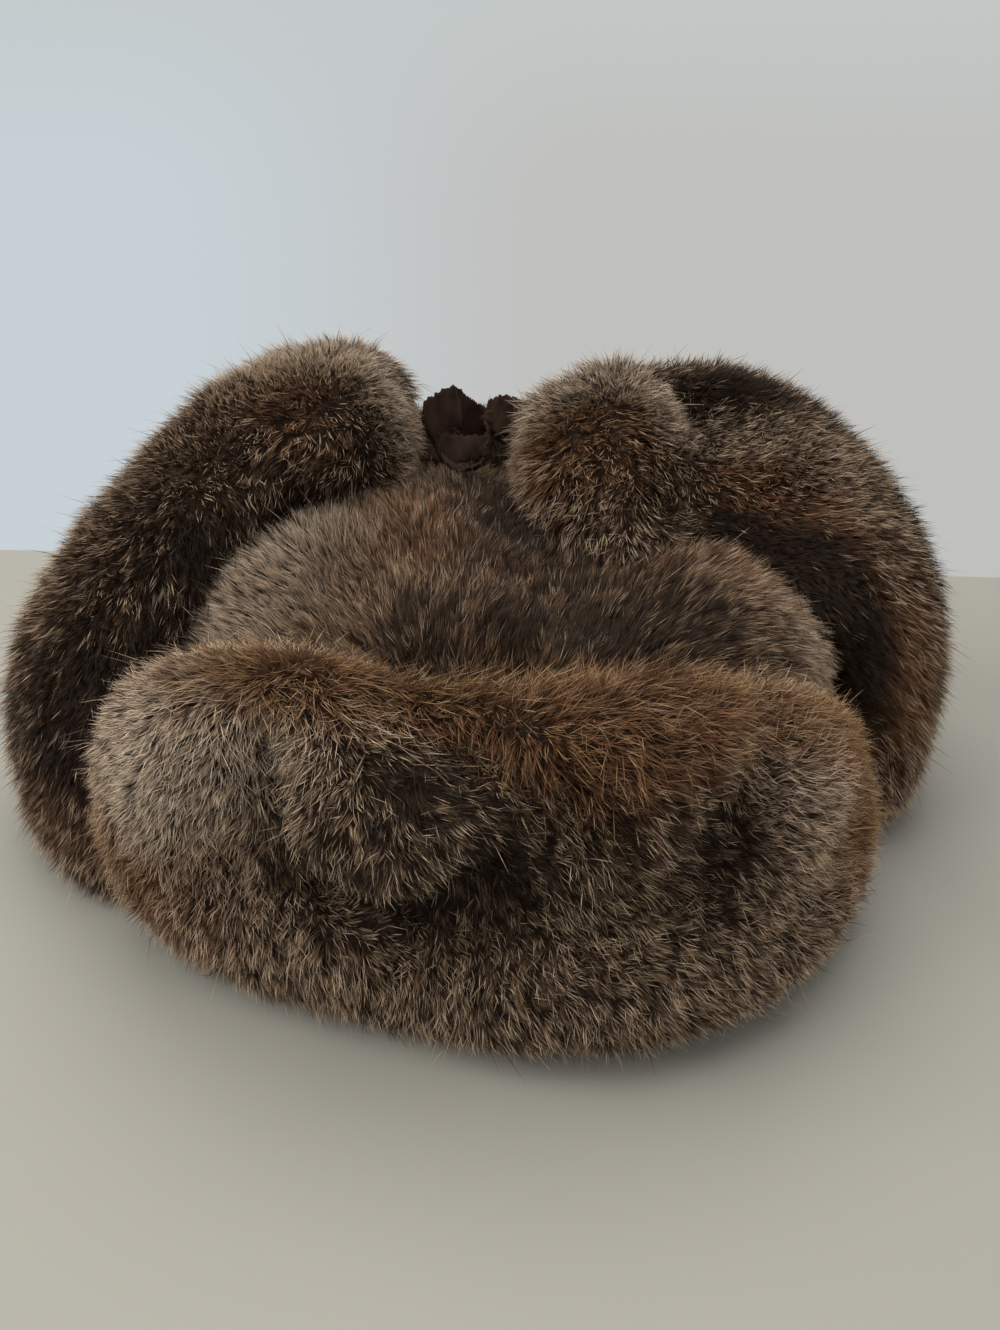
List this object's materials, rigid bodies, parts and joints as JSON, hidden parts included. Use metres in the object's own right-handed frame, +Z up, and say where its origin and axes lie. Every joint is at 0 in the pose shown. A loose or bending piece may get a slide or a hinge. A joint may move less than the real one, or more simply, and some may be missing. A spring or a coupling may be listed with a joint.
{
  "type": "rabbit fur hat",
  "caption": "Fur trapper hat resting on its rim, with the front, nape and ear flaps folded up and the ear flaps tied over the crown with a suede bow.",
  "frame": {"origin": "middle of the bounding box at the base, on the plane that the rim rests on", "axes": "+Z up, -Y towards the front flap, +X towards the wearer's left, which is the right of the picture"},
  "size_m": [0.362, 0.3222, 0.1659],
  "materials": {
    "fur": "deep agouti rabbit fur, dark brown at the roots with pale tips",
    "suede": "matte dark brown suede with rough cut edges"
  },
  "bodies": {
    "root": {"crown": "fur", "front_flap": "fur", "nape_flap": "fur", "ear_flap_left": "fur", "ear_flap_right": "fur", "tie_bow": "suede", "tie_strap_left": "suede", "tie_strap_right": "suede"}
  },
  "joints": []
}
